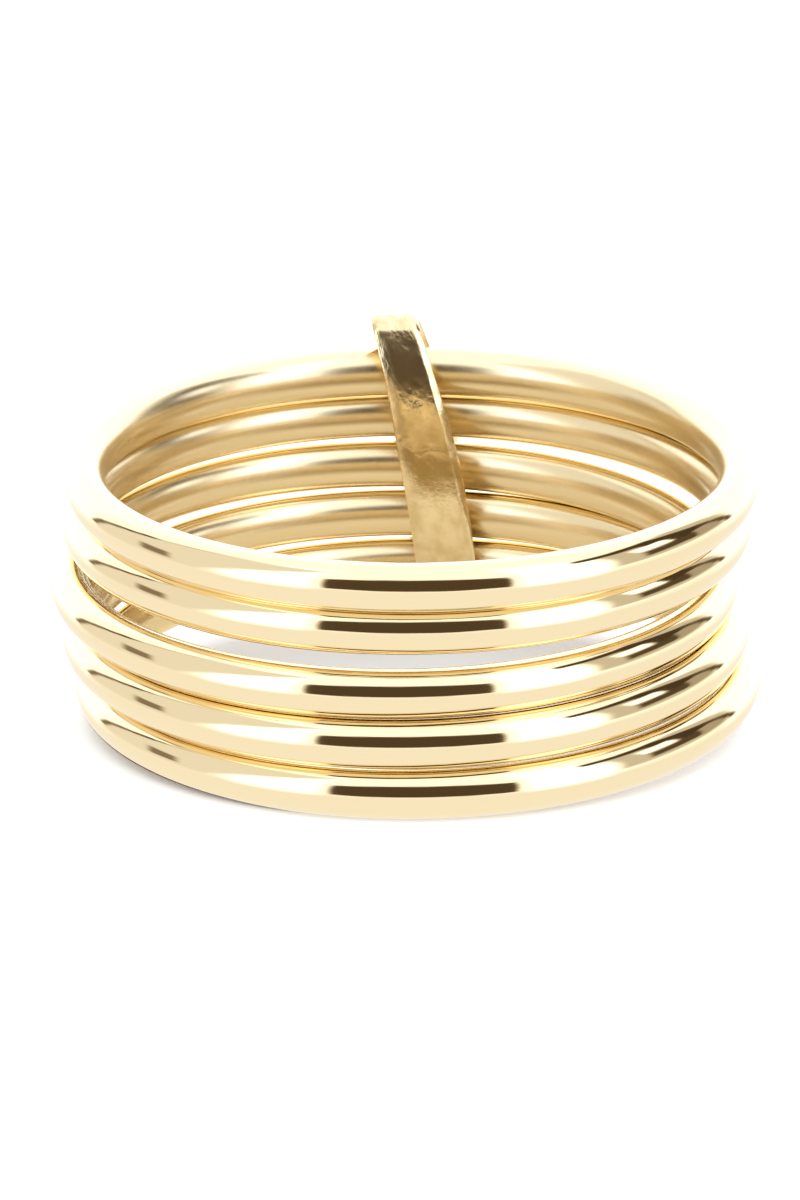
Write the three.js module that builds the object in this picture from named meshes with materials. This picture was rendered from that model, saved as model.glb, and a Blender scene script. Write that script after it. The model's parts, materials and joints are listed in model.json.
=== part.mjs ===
// A finger ring of five loose gold bands, kept in one stack by a slim oval link.
// The ring lies on its side: the finger hole stands upright, and the link's foot
// reaches under the lowest band, so the whole leans a little forward.
// Millimetres, +Z up, the link at the back (+Y). The origin is on the surface,
// under the middle of the whole ring.

import * as THREE from 'three';

// The wire of each band, an oval section turned round the finger hole
const FINGER_DIAMETER = 17.3;
const WIRE_DEPTH = 1.13;
const WIRE_HEIGHT = 1.41;
const WIRE_SIDES = 16;
const BAND_STEPS = 64;

// How each loose band lies: its centre in the stack, then its lean in degrees
const BANDS = [
  { name: 'band_1', side: 0.14, depth: -0.29, lift: 3.06, pitch: -0.17, roll: 0.0 },
  { name: 'band_2', side: 0.0, depth: 0.21, lift: 1.625, pitch: -0.42, roll: 0.0 },
  { name: 'band_3', side: -0.37, depth: 0.13, lift: -0.075, pitch: 0.5, roll: 0.15 },
  { name: 'band_4', side: -0.06, depth: -0.04, lift: -1.515, pitch: 0.32, roll: -0.3 },
  { name: 'band_5', side: 0.29, depth: -0.01, lift: -3.01, pitch: 0.22, roll: -0.5 },
];

// The keeper link: a flat strip bent into an upright loop round all five bands,
// with two gently bowed sides, tightly bent tips and an oval window
const LINK_HALF_HEIGHT = 4.785;
const LINK_SIDE_RADIUS = 9.6;
const LINK_TIP_RADIUS = 0.6;
const LINK_WINDOW_DEPTH = 1.27;
const LINK_WINDOW_HEIGHT = 4.465;
const LINK_WIDTH = 1.77;
const LINK_TOP_WIDTH = 1.38;
const LINK_SLANT = 0.165;
const LINK_BOW = 0.3;
const LINK_EDGE = 0.06;
const LINK_SIDE_STEPS = 14;
const LINK_TIP_STEPS = 8;

// Where the link sits: round the ring from the back, out from the axis, up,
// and how its top tips forward and its face twists
const LINK_TURN = -4.6;
const LINK_REACH = 9.05;
const LINK_LIFT = 0.085;
const LINK_TIP = 3.7;
const LINK_TWIST = 7.0;

// The ring tips forward until its lowest band touches the surface in front
const REST_LEAN = 2.89;

const degrees = THREE.MathUtils.degToRad;

const polishedGold = new THREE.MeshStandardMaterial({
  color: 0xe0b565,
  roughness: 0.12,
  metalness: 1.0,
});

// Points on an oval, from one angle to another
function arc(x, y, width, height, from, to, steps) {
  const points = [];
  for (let step = 0; step <= steps; step += 1) {
    const turn = from + ((to - from) * step) / steps;
    points.push(new THREE.Vector2(x + width * Math.cos(turn), y + height * Math.sin(turn)));
  }
  return points;
}

// One closed band: an oval section turned round the upright axis. The section
// ends exactly on its first point.
function bandGeometry() {
  const reach = (FINGER_DIAMETER + WIRE_DEPTH) / 2;
  const section = arc(reach, 0, WIRE_DEPTH / 2, WIRE_HEIGHT / 2, 0, 2 * Math.PI, WIRE_SIDES);
  section[WIRE_SIDES] = section[0].clone();
  return new THREE.LatheGeometry(section, BAND_STEPS).rotateX(Math.PI / 2);
}

function makeBand({ name, side, depth, lift, pitch, roll }) {
  const band = new THREE.Mesh(bandGeometry(), polishedGold);
  band.name = name;
  band.position.set(side, depth, lift);
  band.rotation.set(degrees(pitch), degrees(roll), 0);
  return band;
}

// The strip keeps its full width up to its middle, then narrows towards the top
function stripWidth(height) {
  const rise = THREE.MathUtils.smoothstep(height, 0, LINK_HALF_HEIGHT);
  return THREE.MathUtils.lerp(LINK_WIDTH, LINK_TOP_WIDTH, rise);
}

// The loop's outline: two bowed sides that run smoothly into two round tips.
// A tip lies inside both side circles and touches them where the bend ends.
function linkOutline() {
  const tip = LINK_HALF_HEIGHT - LINK_TIP_RADIUS;
  const span = LINK_SIDE_RADIUS - LINK_TIP_RADIUS;
  const bend = Math.asin(tip / span);
  const centre = span * Math.cos(bend);
  const side = (x, from) =>
    arc(x, 0, LINK_SIDE_RADIUS, LINK_SIDE_RADIUS, from - bend, from + bend, LINK_SIDE_STEPS);
  const end = (y, from) =>
    arc(0, y, LINK_TIP_RADIUS, LINK_TIP_RADIUS, from + bend, from + Math.PI - bend, LINK_TIP_STEPS);
  // each stretch leaves out its last point, which is the first of the next
  const stretches = [side(-centre, 0), end(tip, 0), side(centre, Math.PI), end(-tip, Math.PI)];
  return stretches.flatMap((points) => points.slice(0, -1));
}

// The outline with its oval window, pulled out to the strip's width with
// softened edges, then turned so that the outline stands in the depth-height plane
function linkGeometry() {
  const outline = new THREE.Shape(linkOutline());
  const steps = 2 * (LINK_SIDE_STEPS + LINK_TIP_STEPS);
  const window = arc(0, 0, LINK_WINDOW_DEPTH, LINK_WINDOW_HEIGHT, 0, -2 * Math.PI, steps);
  outline.holes.push(new THREE.Path(window.slice(0, -1)));

  const geometry = new THREE.ExtrudeGeometry(outline, {
    depth: LINK_WIDTH - 2 * LINK_EDGE,
    bevelThickness: LINK_EDGE,
    bevelSize: LINK_EDGE,
    bevelOffset: -LINK_EDGE,
    bevelSegments: 1,
  });
  geometry.translate(0, 0, LINK_EDGE - LINK_WIDTH / 2);

  // the strip tapers, runs aslant to the left as it rises, and bows a little to the right
  const corner = geometry.attributes.position;
  for (let i = 0; i < corner.count; i += 1) {
    const height = corner.getY(i);
    const across = (corner.getZ(i) * stripWidth(height)) / LINK_WIDTH;
    const bow = LINK_BOW * (height / LINK_HALF_HEIGHT) ** 2;
    corner.setZ(i, across - LINK_SLANT * height - bow);
  }

  const across = new THREE.Vector3(0, 1, 0);
  const up = new THREE.Vector3(0, 0, 1);
  const along = new THREE.Vector3(1, 0, 0);
  return geometry.applyMatrix4(new THREE.Matrix4().makeBasis(across, up, along));
}

// The link stands at the back of the ring, a little to the right
function makeLink() {
  const link = new THREE.Mesh(linkGeometry(), polishedGold);
  link.name = 'keeper_link';
  link.position.set(0, LINK_REACH, LINK_LIFT);
  link.rotation.set(degrees(LINK_TIP), 0, degrees(LINK_TWIST));
  const swing = new THREE.Group();
  swing.rotation.z = degrees(LINK_TURN);
  return swing.add(link);
}

const ring = new THREE.Group();
BANDS.forEach((row) => ring.add(makeBand(row)));
ring.add(makeLink());

// Lay the ring down and bring the origin to the surface, under its middle
ring.rotation.x = degrees(REST_LEAN);
const reach = new THREE.Box3().setFromObject(ring, true);
const middle = reach.getCenter(new THREE.Vector3());
ring.position.set(-middle.x, -middle.y, -reach.min.z);

export default ring;
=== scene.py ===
# %% [markdown]
# A finger ring made of five loose gold bands that one slim oval link keeps together.
# The ring lies on its side, so the finger hole stands upright and the link is at the back.
# The frame holds the solids of the ring. Every piece below is a finer surface that stands for
# one of those solids and moves with the same body.

# %% Load the frame and keep its box
import json

import bpy
import numpy as np
from mathutils import Matrix


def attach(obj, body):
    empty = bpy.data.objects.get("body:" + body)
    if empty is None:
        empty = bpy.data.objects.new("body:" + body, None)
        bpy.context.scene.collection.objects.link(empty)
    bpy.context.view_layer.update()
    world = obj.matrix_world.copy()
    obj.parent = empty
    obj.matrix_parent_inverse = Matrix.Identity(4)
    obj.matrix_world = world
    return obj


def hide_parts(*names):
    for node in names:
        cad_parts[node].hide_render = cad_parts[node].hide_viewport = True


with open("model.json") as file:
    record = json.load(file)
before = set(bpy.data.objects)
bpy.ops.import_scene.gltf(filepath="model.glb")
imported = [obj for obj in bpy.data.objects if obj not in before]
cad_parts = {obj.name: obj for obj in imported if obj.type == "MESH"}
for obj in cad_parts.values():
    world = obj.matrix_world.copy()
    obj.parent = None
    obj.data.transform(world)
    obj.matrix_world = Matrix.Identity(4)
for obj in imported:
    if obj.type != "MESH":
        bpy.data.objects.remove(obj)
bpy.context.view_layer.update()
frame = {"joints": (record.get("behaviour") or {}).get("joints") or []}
MM = 0.001

# %% [markdown]
# The camera that fits the photograph stands about 22 cm away, a little above the table, with a
# long lens. The five rims are ellipses in the picture. How flat each one is gives the camera's
# height, and how much the far side of a rim shrinks gives its distance. The camera is built from
# those numbers rather than moved by eye, so the bands fall where they should.
# Blender's sensor width belongs to the longer side of the picture, here 1200 pixels high.

# %% Place the camera
CAMERA_ELEVATION = np.radians(17.594)
CAMERA_DISTANCE = 221.34 * MM
CAMERA_ROLL = np.radians(-0.205)
LENS_PIXELS, PICTURE_HEIGHT, SENSOR = 7778.7, 1200, 36.0
aim = np.array([-0.1727, -0.2163, 3.4067]) * MM

forward = np.array([0, np.cos(CAMERA_ELEVATION), -np.sin(CAMERA_ELEVATION)])
level = np.array([1.0, 0, 0])
upright = np.cross(level, forward)
right = np.cos(CAMERA_ROLL) * level + np.sin(CAMERA_ROLL) * upright
upward = np.cos(CAMERA_ROLL) * upright - np.sin(CAMERA_ROLL) * level

camera_data = bpy.data.cameras.new("camera")
camera_data.sensor_width = SENSOR
camera_data.lens = LENS_PIXELS / PICTURE_HEIGHT * SENSOR
camera_data.clip_start, camera_data.clip_end = 0.01, 20
camera = bpy.data.objects.new("camera", camera_data)
turned = np.eye(4)
turned[:3, :] = np.column_stack([right, upward, -forward, aim - forward * CAMERA_DISTANCE])
camera.matrix_world = Matrix(turned.tolist())
bpy.context.scene.collection.objects.link(camera)
bpy.context.scene.camera = camera
print("lens", round(camera_data.lens, 1), "mm, camera at",
      np.round(turned[:3, 3] / MM, 1).tolist(), "mm")

# %% [markdown]
# Every surface of this ring closes on itself both ways: round the finger and round the wire.
# So one helper is enough. It takes a grid of points, joins the last row to the first and the last
# column to the first, and adds a UV map in millimetres along and across the wire, which the
# finishes use later. Whole arrays go into the mesh at once.

# %% Turn a closed grid of points into a mesh
def running_length(points):
    """Distance along a closed line of points, from 0 to the full length at its seam."""
    steps = np.linalg.norm(np.roll(points, -1, axis=0) - points, axis=1)
    return np.concatenate([[0], np.cumsum(steps)])


def closed_grid(name, points, along, across):
    """Quads between neighbouring points of a grid that wraps both ways.

    points is rows x columns x 3. along and across are the UV values of each grid line in
    millimetres, one more than there are rows or columns, so that the seam has a full width."""
    rows, columns = points.shape[:2]
    row, column = np.meshgrid(np.arange(rows), np.arange(columns), indexing="ij")
    step = np.array([[0, 0], [1, 0], [1, 1], [0, 1]])
    corner_row = row[..., None] + step[:, 0]
    corner_column = column[..., None] + step[:, 1]
    corners = (corner_row % rows) * columns + corner_column % columns
    mesh = bpy.data.meshes.new(name)
    mesh.vertices.add(rows * columns)
    mesh.vertices.foreach_set("co", points.astype(np.float32).ravel())
    mesh.loops.add(corners.size)
    mesh.loops.foreach_set("vertex_index", corners.astype(np.int32).ravel())
    mesh.polygons.add(rows * columns)
    mesh.polygons.foreach_set("loop_start", np.arange(0, corners.size, 4, dtype=np.int32))
    mesh.polygons.foreach_set("use_smooth", np.ones(rows * columns, bool))
    layer = mesh.uv_layers.new(name="wire_mm")
    pairs = np.stack([along[corner_row], across[corner_column]], axis=-1)
    layer.data.foreach_set("uv", pairs.astype(np.float32).ravel())
    mesh.update(calc_edges=True)
    mesh.validate()
    piece = bpy.data.objects.new(name, mesh)
    bpy.context.scene.collection.objects.link(piece)
    return piece


# %% [markdown]
# Each band is drawn from wire with an oval section, a little taller than deep, so that it sits
# softly on the finger. The section is drawn once and shared by all five bands.

# %% Draw the section of the wire
FINGER_DIAMETER, WIRE_DEPTH, WIRE_HEIGHT = 17.3, 1.13, 1.41
WIRE_STEPS = 96


def wire_section():
    """Closed oval (depth / 2 x cos t, height / 2 x sin t) in millimetres, outwards and up."""
    t = np.linspace(0, 2 * np.pi, WIRE_STEPS, endpoint=False)
    return np.stack([WIRE_DEPTH / 2 * np.cos(t), WIRE_HEIGHT / 2 * np.sin(t)], axis=-1)


wire = wire_section()
print("wire section of", len(wire), "points, girth", round(running_length(wire)[-1], 2), "mm")

# %% [markdown]
# Bent into a full circle and soldered shut, the wire is a solid of revolution. A torus primitive
# has a round section only, so the section is carried round each band's own axis instead. That axis
# and its centre come from the joint on which the band turns, so a turning band never leaves its
# place.

# %% Make the five bands
ROUND_STEPS = 480


def band_points(centre, axis):
    """Centre, plus (ring radius + outward offset) in the direction at angle u round the axis,
    plus the upward offset along the axis, for every u and every point of the section."""
    axis = np.array(axis) / np.linalg.norm(axis)
    first = np.cross([0, 1, 0], axis)
    first /= np.linalg.norm(first)
    second = np.cross(axis, first)
    u = np.linspace(0, 2 * np.pi, ROUND_STEPS, endpoint=False)[:, None, None]
    outward = np.cos(u) * first + np.sin(u) * second
    reach = (FINGER_DIAMETER + WIRE_DEPTH) / 2 + wire[None, :, 0, None]
    return np.array(centre) + MM * (reach * outward + wire[None, :, 1, None] * axis)


ring_length = np.pi * (FINGER_DIAMETER + WIRE_DEPTH)
bands = {}
for joint in frame["joints"]:
    body = joint["child"]
    bands[body] = closed_grid(
        f"{body}_polished",
        band_points(joint["pos_m"], joint["axis"]),
        np.linspace(0, ring_length, ROUND_STEPS + 1),
        running_length(wire),
    )
    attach(bands[body], body)
    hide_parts(body)
print(len(bands), "bands, each", 2 * ROUND_STEPS * len(wire), "triangles")

# %% [markdown]
# The link is a flat strip of gold bent into a tall loop round all five wires. Seen from the side
# it has two gently bowed legs, tightly bent tips and an oval window. The outline is drawn by the
# direction in which it faces: a leg for small angles, a tip for steep ones. The legs get most of
# the points, because they are long and a mirror shows every facet.

# %% Draw the loop of the link
LINK_HALF_HEIGHT, LINK_SIDE_RADIUS, LINK_TIP_RADIUS = 4.785, 9.6, 0.6
WINDOW_DEPTH, WINDOW_HEIGHT = 1.27, 4.465


def loop_lines(leg_steps=150, tip_steps=60):
    """Outer and inner line of the loop as (depth, height) in millimetres.

    Facing angle t: a leg is (side radius x cos t - leg centre, side radius x sin t), a tip is
    (tip radius x cos t, tip height + tip radius x sin t). The inner line is the window's
    ellipse at the same share of depth and height."""
    tip = LINK_HALF_HEIGHT - LINK_TIP_RADIUS
    span = LINK_SIDE_RADIUS - LINK_TIP_RADIUS
    bend = np.arcsin(tip / span)
    leg = np.linspace(-bend, bend, leg_steps, endpoint=False)
    end = np.linspace(bend, np.pi - bend, tip_steps, endpoint=False)
    t = np.concatenate([leg, end, leg + np.pi, end + np.pi])
    on_leg = np.concatenate([leg * 0 + 1, end * 0, leg * 0 + 1, end * 0]).astype(bool)
    facing = np.stack([np.cos(t), np.sin(t)], axis=-1)
    leg_centre = np.stack([-np.sign(facing[:, 0]) * span * np.cos(bend), 0 * t], axis=-1)
    tip_centre = np.stack([0 * t, np.sign(facing[:, 1]) * tip], axis=-1)
    outer = np.where(on_leg[:, None], leg_centre + LINK_SIDE_RADIUS * facing,
                     tip_centre + LINK_TIP_RADIUS * facing)
    deepest = LINK_SIDE_RADIUS - span * np.cos(bend)
    share = np.arctan2(outer[:, 1] / LINK_HALF_HEIGHT, outer[:, 0] / deepest)
    inner = np.stack([WINDOW_DEPTH * np.cos(share), WINDOW_HEIGHT * np.sin(share)], axis=-1)
    return outer, inner


outer, inner = loop_lines()
thick = np.linalg.norm(outer - inner, axis=1)
print("loop of", len(outer), "points, strip", round(thick.min(), 2), "to", round(thick.max(), 2),
      "mm thick")

# %% [markdown]
# Across the strip, both long edges are worn and polished to soft slopes, the left one broader.
# They catch the bright tent on either side while the flat face between them shows the dark front.
# Each edge is a quarter of a superellipse. On the legs a power of 1.3 tips it quickly to a slope
# that only rounds off at the very side; at the tips a power of 2 makes it plainly round.

# %% Draw the two sections of the strip
STRIP_WIDTH, STRIP_TOP_WIDTH = 1.77, 1.38


def strip_edge(size, power, steps=18):
    """Quarter edge from the outer face: (0.5 + 0.5 x cos(t)^(2/p), half width - size
    + size x sin(t)^(2/p)), then its mirror image down to the inner face."""
    t = np.linspace(0, np.pi / 2, steps)
    outwards = 0.5 + 0.5 * np.clip(np.cos(t), 0, 1) ** (2 / power)
    across = STRIP_WIDTH / 2 - size + size * np.sin(t) ** (2 / power)
    upper = np.stack([outwards, across], axis=-1)
    return np.concatenate([upper, (upper[::-1] * [-1, 1] + [1, 0])[1:]])


def face(first, last, steps=10):
    """Evenly spaced points strictly between two points."""
    return first + (last - first) * np.linspace(0, 1, steps + 2)[1:-1, None]


def strip_section(left_edge, right_edge, power):
    """Closed section: right edge, inner face, left edge, outer face."""
    right_side = strip_edge(right_edge, power)
    left_side = strip_edge(left_edge, power)[::-1] * [1, -1]
    return np.concatenate([right_side, face(right_side[-1], left_side[0]),
                           left_side, face(left_side[-1], right_side[0])])


leg_section = strip_section(0.46, 0.26, 1.3)
tip_section = strip_section(0.6, 0.42, 2.0)
print("strip sections of", len(leg_section), "points")

# %% [markdown]
# The section is carried round the loop and eases from the one of the legs to the one of the tips:
# a share of 0 lies on the window and 1 on the outside. The strip narrows towards the top, runs
# aslant to the left as it rises and bows a little, as on a strip bent by hand. Then the loop is
# twisted, tipped forward, moved out to the wires, turned to the right of the back and laid down
# with the ring. All of that is done to the points, so that the object itself stays unturned at
# the origin.

# %% Make the link
LINK_SLANT, LINK_BOW = 0.165, 0.3
TIP_START, TIP_LENGTH = 0.86, 0.12
STRIP_THICKNESS = 0.35
RING_PLACE = (0.0402, -0.2575, 4.2171)
LINK_PLACE = [("Z", 7.0, (0, 0, 0)), ("X", 3.7, (0, 9.05, 0.085)), ("Z", -4.6, (0, 0, 0)),
              ("X", 2.89, RING_PLACE)]


def ease(value):
    """0 below 0, 1 above 1, value^2 x (3 - 2 x value) between them."""
    value = np.clip(value, 0, 1)
    return value * value * (3 - 2 * value)


def link_points():
    """Inner line + share x (outer line - inner line) gives depth and height. The width is the
    section's across value, times a factor that eases from 1 at mid height to the narrow top,
    less slant x height, less bow x (height / half height) squared."""
    tip = ease((np.abs(outer[:, 1]) / LINK_HALF_HEIGHT - TIP_START) / TIP_LENGTH)[:, None, None]
    strip = leg_section + tip * (tip_section - leg_section)
    loop = inner[:, None] + strip[..., :1] * (outer - inner)[:, None]
    height = loop[..., 1] / LINK_HALF_HEIGHT
    width = strip[..., 1] * (1 + (STRIP_TOP_WIDTH / STRIP_WIDTH - 1) * ease(height))
    width = width - LINK_SLANT * loop[..., 1] - LINK_BOW * height ** 2
    return np.concatenate([width[..., None], loop], axis=-1)


points = link_points()
for turn_axis, degrees, shift in LINK_PLACE:
    turn = np.array(Matrix.Rotation(np.radians(degrees), 3, turn_axis))
    points = points @ turn.T + np.array(shift)

strip_mm = leg_section * [STRIP_THICKNESS, 1]
link = closed_grid("keeper_link_polished", points * MM, running_length(outer),
                   running_length(strip_mm))
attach(link, "link")
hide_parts("keeper_link")
print("link box, mm:", np.round([points.min((0, 1)), points.max((0, 1))], 2).tolist())

# %% [markdown]
# Finishes and lights are built from nodes. Written as a list of nodes and links they are hard to
# read, so this small class wraps one socket and lets Python's own signs add the Math nodes:
# 1 - mask is one subtract node. Anything that is not plain arithmetic comes from its one
# method for nodes, which sets the node's choices first and then its sockets. Two short helpers
# give what is used most: a ramp from 0 to 1 and a blend of two colours.

# %% Write node maths as expressions
class Flow:
    """A value on its way through a node tree."""

    def __init__(self, tree, socket=None):
        self.tree, self.socket = tree, socket

    def node(self, kind, settings=None, inputs=None, output=0):
        """Any node: its type, its settings, the values or links of its sockets."""
        made = self.tree.nodes.new(kind)
        for name, value in (settings or {}).items():
            setattr(made, name, value)
        for key, value in (inputs or {}).items():
            if isinstance(value, Flow):
                self.tree.links.new(value.socket, made.inputs[key])
            else:
                made.inputs[key].default_value = value
        return Flow(self.tree, made.outputs[output] if len(made.outputs) else None)

    def math(self, operation, first, second=0.0):
        return self.node("ShaderNodeMath", {"operation": operation}, {0: first, 1: second})

    def __add__(self, other):
        return self.math("ADD", self, other)

    def __sub__(self, other):
        return self.math("SUBTRACT", self, other)

    def __rsub__(self, other):
        return self.math("SUBTRACT", other, self)

    def __mul__(self, other):
        return self.math("MULTIPLY", self, other)

    def __pow__(self, other):
        return self.math("POWER", self, other)

    __radd__, __rmul__ = __add__, __mul__


def ramp(value, start, end, kind="SMOOTHSTEP"):
    """0 at the start value, 1 at the end value, eased between them or straight."""
    return value.node(
        "ShaderNodeMapRange",
        {"interpolation_type": kind},
        {"Value": value, "From Min": start, "From Max": end},
    )


def blend(factor, first, second):
    """The first colour where the factor is 0, the second where it is 1."""
    return factor.node(
        "ShaderNodeMix",
        {"data_type": "RGBA"},
        {"Factor": factor, 6: (*first, 1), 7: (*second, 1)},
        output=2,
    )


# %% [markdown]
# Polished gold shows what stands round it more than its own colour. The reflections on this ring
# look like those of a white tent: bright cloth on all sides, a dark opening in front where the
# lens looks in, and the tent's frame at both sides. Such a tent is painted here on the sky by
# direction: azimuth counts from the camera to the right, elevation up from the horizon, both in
# degrees.

# %% Measure directions in the tent
scene = bpy.context.scene
scene.view_settings.view_transform = "Standard"
tent = bpy.data.worlds.new("light_tent")
tent.use_nodes = True
tent.node_tree.nodes.clear()
scene.world = tent
sky = Flow(tent.node_tree)

direction = sky.node("ShaderNodeTexCoord", output="Generated")
parts = sky.node("ShaderNodeSeparateXYZ", inputs={0: direction}).socket.node.outputs
side, deep, high = (Flow(sky.tree, part) for part in parts)
PER_RADIAN = 180 / np.pi
azimuth = sky.math("ARCTAN2", side, 0 - deep) * PER_RADIAN
elevation = sky.math("ARCSINE", high) * PER_RADIAN


def edge(value, at, soft):
    """0 below the edge, 1 above it, eased over soft degrees."""
    return ramp(value, at - soft / 2, at + soft / 2)


def between(value, low, top, soft):
    """1 between two soft edges, 0 outside them."""
    return edge(value, low, soft) * (1 - edge(value, top, soft))


print("view transform:", scene.view_settings.view_transform)

# %% [markdown]
# The cloth is brightest at the two front corners and behind the ring, and the lower half is a
# little dimmer, as a white table is under a lamp. Every other thing is laid over it in turn: the
# level moves towards the new one by the thing's mask. On the right stands a dark frame with a
# bright window and a panel, on the left a slanting pole and a small dark block. A slant is a
# rectangle in azimuth plus a share of the elevation.

# %% Hang the cloth and the frame
TOP_LIFT, CORNER_LIFT, BACK_LIFT, OPENING_LEVEL = 0.3, 0.6, 0.2, 0.085
cloth = 1.0 + TOP_LIFT * edge(elevation, -12, 14)
corners = between(azimuth, -64, 66, 14) * (1 - between(azimuth, -34, 37, 10))
back = 1 - between(azimuth, -124, 122, 10)
cloth = cloth + between(elevation, -16, 62, 14) * (CORNER_LIFT * corners + BACK_LIFT * back)
FRAME_THINGS = [
    # slant, left, right, low, top, soft, level
    (-0.61, -121, -66, -14, 56, 8, 0.90),
    (-0.61, -123.4, -119, -9, 34, 3, 0.22),
    (-0.61, -123, -119.4, 16, 33, 3, 0.08),
    (-0.61, -123.5, -119, 34, 54, 6, 0.60),
    (0.0, -98, -85, -6, 8, 5, 0.26),
    (0.0, 69, 122, -5, 46, 6, 0.66),
    (-0.2, 53, 92, 37, 46, 4, 0.07),
    (0.35, 101, 122, 1, 47, 4, 0.07),
    (0.0, 80, 96, 18, 32, 3, 1.60),
    (0.0, 81, 104, 2, 15, 4, 0.10),
    (0.0, 105, 118, -2, 17, 3, 0.45),
    (0.5, 120, 124.4, -6, 22, 3, 0.12),
]
for slant, left, right_end, low, top, soft, dim in FRAME_THINGS:
    slanted = azimuth + slant * elevation if slant else azimuth
    mask = between(slanted, left, right_end, soft) * between(elevation, low, top, soft)
    cloth = cloth + (dim - cloth) * mask

arch = elevation + 0.010 * azimuth * azimuth
opening = between(azimuth, -29, 32, 3) * edge(elevation, -11, 3) * (1 - edge(arch, 33, 6))
cloth = cloth + (OPENING_LEVEL - cloth) * opening
print(len(FRAME_THINGS) + 1, "things in the tent")

# %% [markdown]
# Dark things in a tent full of gold light look brown rather than grey, and the brightest cloth
# looks cooler. Raising the level to a slightly higher power in green and blue does both at once.

# %% Light the scene from the tent
warmth = sky.node(
    "ShaderNodeCombineColor", inputs={"Red": cloth, "Green": cloth ** 1.15, "Blue": cloth ** 1.37}
)
glow = sky.node("ShaderNodeBackground", inputs={"Color": warmth, "Strength": 1.0})
sky.node("ShaderNodeOutputWorld", inputs={"Surface": glow})
print("sky nodes:", len(sky.tree.nodes))

# %% [markdown]
# The floor is one plain white sheet, lifted to the photograph's white by a little light of its own,
# except inside the ring, where it stays in the shade. It takes the soft shadow, but is kept out of
# mirror reflections, because the sky already holds the lower half of the tent.

# %% Lay the floor
FLOOR_RADIUS, FLOOR_LIGHT = 1.5, 0.35
HOLE_SHADE = (8.2 * MM, 9.8 * MM)


def sheet(name, radius, height=0.0, steps=128):
    """A flat round stage piece: radius x (cos t, sin t) at one height."""
    t = np.linspace(0, 2 * np.pi, steps, endpoint=False)
    rim = np.stack([radius * np.cos(t), radius * np.sin(t), 0 * t + height], axis=-1)
    mesh = bpy.data.meshes.new(name)
    mesh.from_pydata(rim.tolist(), [], [list(range(steps))])
    paper = bpy.data.materials.new(name)
    paper.use_nodes = True
    inputs = paper.node_tree.nodes["Principled BSDF"].inputs
    inputs["Base Color"].default_value = (0.92, 0.92, 0.92, 1)
    inputs["Roughness"].default_value = 0.9
    inputs["Specular IOR Level"].default_value = 0.0
    mesh.materials.append(paper)
    piece = bpy.data.objects.new(name, mesh)
    scene.collection.objects.link(piece)
    return piece, paper.node_tree, inputs


floor, tree, inputs = sheet("floor", FLOOR_RADIUS)
floor.visible_glossy = False
place = Flow(tree).node("ShaderNodeTexCoord", output="Object")
reach = place.node("ShaderNodeVectorMath", {"operation": "LENGTH"}, {0: place}, output="Value")
light = blend(ramp(reach, *HOLE_SHADE, "LINEAR"), (0, 0, 0), (1, 1, 1))
tree.links.new(light.socket, inputs["Emission Color"])
inputs["Emission Strength"].default_value = FLOOR_LIGHT
print("floor", 2 * FLOOR_RADIUS, "m wide")

# %% [markdown]
# Inside the ring the gold sees no sky below, only floor: bright towards the back, and in the golden
# shade of the bands in front. A small round patch stands for that floor, with that shade and light
# painted into its colour. Only mirror rays meet it.

# %% Shade the floor inside the ring
PATCH_RADIUS, PATCH_HEIGHT = 9.3 * MM, 0.02 * MM
SHADE_END, LIGHT_START = -2.5 * MM, 3.0 * MM
GOLDEN_SHADE, WARM_LIGHT = (0.40, 0.27, 0.10), (1.0, 0.92, 0.74)
shade, tree, inputs = sheet("shaded_floor", PATCH_RADIUS, PATCH_HEIGHT)
shade.visible_camera = shade.visible_diffuse = shade.visible_shadow = False
place = Flow(tree).node("ShaderNodeTexCoord", output="Object")
depth = place.node("ShaderNodeSeparateXYZ", None, {0: place}, output="Y")
# Painted shade in front and painted light at the back of the patch, seen only in mirrors.
tint = blend(ramp(depth, SHADE_END, LIGHT_START), GOLDEN_SHADE, WARM_LIGHT)
tree.links.new(tint.socket, inputs["Base Color"])
print("shaded patch", round(2 * PATCH_RADIUS / MM, 1), "mm wide")

# %% [markdown]
# The bands are yellow gold polished to a mirror. A finger ring is never quite perfect: buffing
# leaves hair lines along the wire, and the polish is a shade duller in places. Inside, where a
# wheel hardly reaches and the finger rubs, the gold is satin. All of that only touches the
# roughness and a very small bump, so the outer reflections stay crisp. The pattern reads the UV map
# in millimetres, so it runs with the wire all the way round: half its girth is the innermost line.

# %% Polish the bands
POLISHED_GOLD = (0.95, 0.79, 0.50)
SATIN_START, SATIN_FULL = 1.05, 0.45


def gold(name, colour):
    """A new material with a gold Principled shader. Returns it, its flow and the shader node."""
    material = bpy.data.materials.new(name)
    material.use_nodes = True
    shader = material.node_tree.nodes["Principled BSDF"]
    shader.inputs["Base Color"].default_value = (*colour, 1)
    shader.inputs["Metallic"].default_value = 1.0
    return material, Flow(material.node_tree), shader


def wire_noise(flow, place, stretch, scale, detail):
    """Noise on the wire's own millimetres, stretched along or across it."""
    longer = flow.node(
        "ShaderNodeVectorMath", {"operation": "MULTIPLY"}, {0: place, 1: (*stretch, 1.0)}
    )
    return flow.node(
        "ShaderNodeTexNoise", None, {"Vector": longer, "Scale": scale, "Detail": detail}
    )


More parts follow.
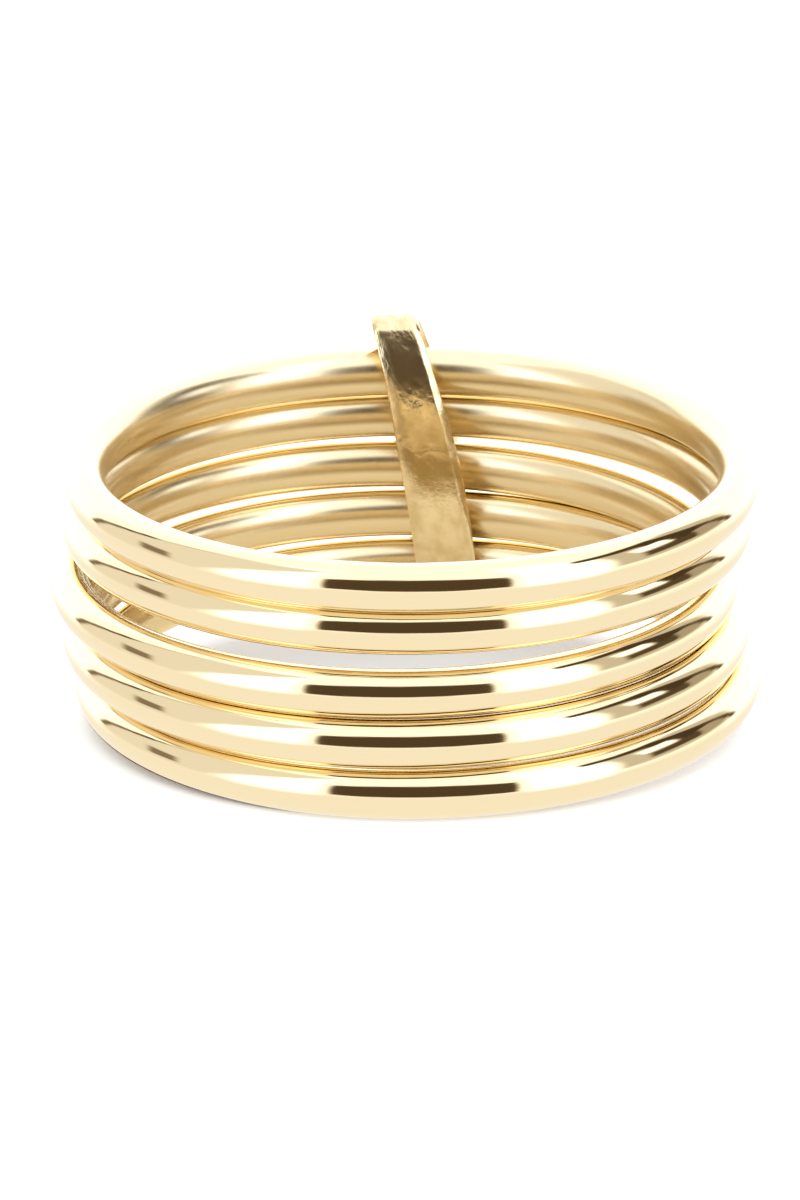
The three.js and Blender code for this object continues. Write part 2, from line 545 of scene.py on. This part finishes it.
polished, shine, shader = gold("polished_gold", POLISHED_GOLD)
wire_mm = shine.node("ShaderNodeUVMap", {"uv_map": "wire_mm"})
buffing = wire_noise(shine, wire_mm, (0.25, 9.0), 1.0, 3.0)
haze = wire_noise(shine, wire_mm, (0.35, 0.8), 1.0, 2.0)
across_mm = shine.node("ShaderNodeSeparateXYZ", None, {0: wire_mm}, output="Y")
from_inmost = shine.math("ABSOLUTE", across_mm - running_length(wire)[-1] / 2)
inside = ramp(from_inmost, SATIN_START, SATIN_FULL)
rough = 0.02 + 0.03 * buffing + 0.05 * haze + 0.20 * inside
shine.tree.links.new(rough.socket, shader.inputs["Roughness"])
bump = shine.node("ShaderNodeBump", None, {"Strength": 0.02, "Distance": 0.0001, "Height": buffing})
shine.tree.links.new(bump.socket, shader.inputs["Normal"])
for piece in bands.values():
    piece.data.materials.append(polished)
print(polished.name, "on", len(bands), "bands")

# %% [markdown]
# The link is the same gold, but it rubs against the wires and the finger, so its polish has gone
# softer, and its face is mottled and no longer quite even: the wear pattern darkens the gold a
# little in patches, and a low bump from the same pattern breaks up the mirror.

# %% Polish the link
LINK_GOLD, WORN_PATCH = (0.94, 0.77, 0.47), (0.80, 0.62, 0.33)
worn, wear, shader = gold("worn_gold", LINK_GOLD)
strip_place = wear.node("ShaderNodeUVMap", {"uv_map": "wire_mm"})
mottle = wire_noise(wear, strip_place, (1.2, 1.2), 1.6, 4.0)
brush = wire_noise(wear, strip_place, (0.6, 14.0), 1.0, 3.0)
rough = 0.10 + 0.16 * mottle + 0.03 * brush
wear.tree.links.new(rough.socket, shader.inputs["Roughness"])
tint = blend(ramp(mottle, 0.4, 0.65, "LINEAR"), LINK_GOLD, WORN_PATCH)
wear.tree.links.new(tint.socket, shader.inputs["Base Color"])
uneven = mottle + 0.2 * brush
bump = wear.node("ShaderNodeBump", None, {"Strength": 0.15, "Distance": 0.0002, "Height": uneven})
wear.tree.links.new(bump.socket, shader.inputs["Normal"])
link.data.materials.append(worn)
print(worn.name, "on", link.name)
